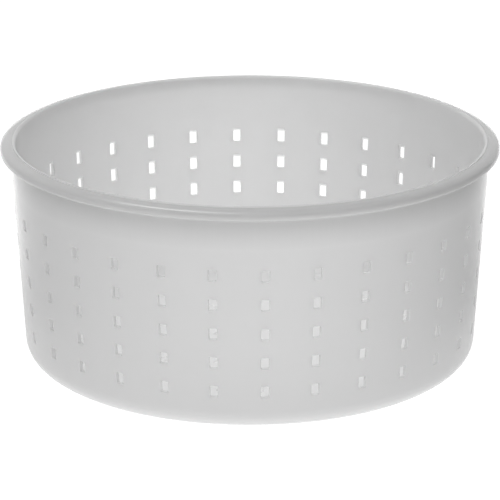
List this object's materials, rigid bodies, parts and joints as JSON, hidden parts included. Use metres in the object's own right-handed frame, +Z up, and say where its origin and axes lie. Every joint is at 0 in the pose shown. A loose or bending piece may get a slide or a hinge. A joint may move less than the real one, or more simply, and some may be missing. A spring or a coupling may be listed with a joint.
{
  "type": "cheese mould",
  "caption": "Round plastic cheese mould: a tapered basket pierced through wall and base so that whey drains, with an open mouth and a beaded rim.",
  "frame": {"origin": "centre of the standing face, on the axis of the mould", "axes": "+Z up along the axis, out of the mouth; a column of wall holes lies on the -Y side"},
  "size_m": [0.2, 0.2, 0.09],
  "materials": {
    "polypropylene": "satin, translucent white natural polypropylene"
  },
  "bodies": {
    "root": {"mould_body": "polypropylene"}
  },
  "joints": []
}
